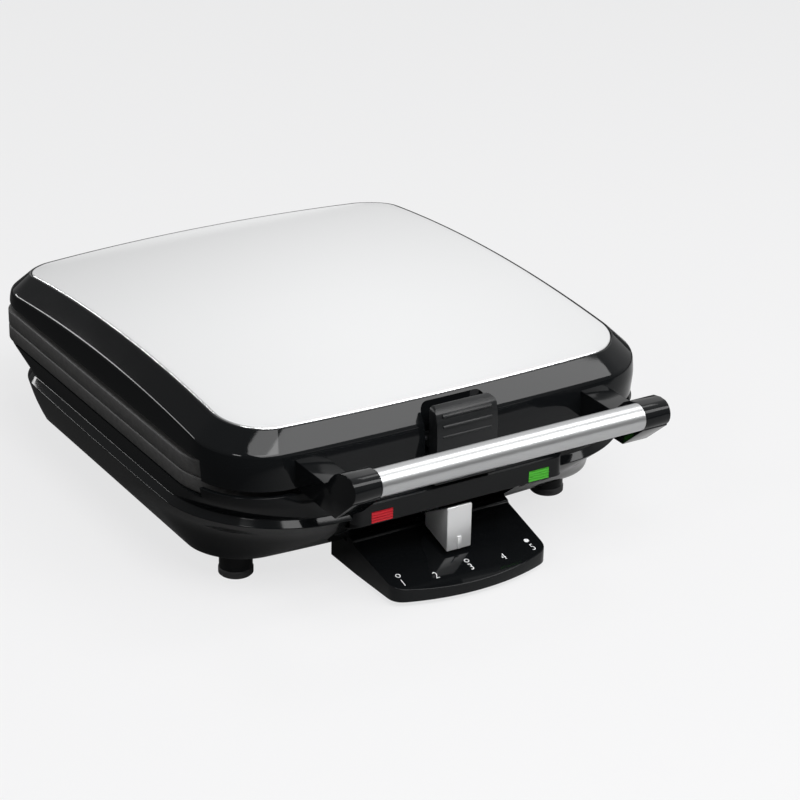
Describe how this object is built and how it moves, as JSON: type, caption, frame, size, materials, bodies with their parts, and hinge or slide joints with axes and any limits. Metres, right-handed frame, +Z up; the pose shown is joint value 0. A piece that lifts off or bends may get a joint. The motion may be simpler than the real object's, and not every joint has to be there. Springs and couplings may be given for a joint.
{
  "type": "waffle maker",
  "caption": "Square waffle maker with a crowned steel lid cover, bar handle, sprung latch, indicator lamps and a sliding heat control",
  "frame": {"origin": "on the worktop, under the middle of the body", "axes": "+X to the right as seen from the front, -Y towards the user (handle and controls), +Y to the hinge, +Z up"},
  "size_m": [0.265, 0.3467, 0.1046],
  "materials": {
    "gloss_black": "glossy black moulded plastic",
    "satin_black": "satin black plastic",
    "cover_steel": "fine satin stainless steel",
    "bar_steel": "satin steel tube",
    "cast_plate": "dark non-stick coating on die-cast aluminium, light worn edges",
    "knob_silver": "silver-grey lacquer",
    "screw_steel": "plated steel",
    "dark_steel": "blackened steel pin",
    "reflector_sheet": "bright rolled sheet",
    "element_sheath": "heat-stained steel sheath",
    "ceramic": "unglazed ceramic",
    "fuse_metal": "plain metal can",
    "foot_rubber": "black rubber",
    "red_lens": "red translucent lens",
    "green_lens": "green translucent lens",
    "lamp_glass": "clear lamp glass"
  },
  "bodies": {
    "base": {"base_housing": "gloss_black", "bottom_cover": "satin_black", "legs": "gloss_black", "rubber_feet": "foot_rubber", "leg_screws": "screw_steel", "lower_plate": "cast_plate", "lower_plate_screws": "screw_steel", "lower_element": "element_sheath", "lower_reflector": "reflector_sheet", "thermostat": "ceramic", "thermal_fuse": "fuse_metal", "terminal_block": "ceramic", "cord_gland": "satin_black", "fascia": "gloss_black", "red_lens": "red_lens", "green_lens": "green_lens", "indicator_lamps": "lamp_glass", "control_console": "gloss_black", "console_screws": "screw_steel", "hinge_pins": "screw_steel"},
    "lid": {"lid_housing": "gloss_black", "top_cover": "cover_steel", "upper_plate": "cast_plate", "upper_plate_screws": "screw_steel", "upper_element": "element_sheath", "upper_reflector": "reflector_sheet", "left_handle_arm": "gloss_black", "right_handle_arm": "gloss_black", "handle_screws": "screw_steel", "handle_bar": "bar_steel", "latch_pin": "dark_steel", "latch_spring": "screw_steel"},
    "latch": {"latch": "satin_black"},
    "control": {"control_lever": "screw_steel", "control_spindle": "screw_steel", "control_knob": "knob_silver"}
  },
  "joints": [
    {"name": "lid_hinge", "type": "hinge", "parent": "base", "child": "lid", "pos_m": [0, 0.1465, 0.0668], "axis": [-1, 0, 0], "range_deg": [0, 105]},
    {"name": "latch_rock", "type": "hinge", "parent": "lid", "child": "latch", "pos_m": [0, -0.1395, 0.0793], "axis": [-1, 0, 0], "range_deg": [0, 12], "stiffness_Nm_per_rad": 0.15, "springref_deg": -5.73},
    {"name": "heat_control", "type": "hinge", "parent": "base", "child": "control", "pos_m": [0, 0.06, 0.0253], "axis": [0, 0, 1], "range_deg": [-10.3, 10.3]}
  ]
}
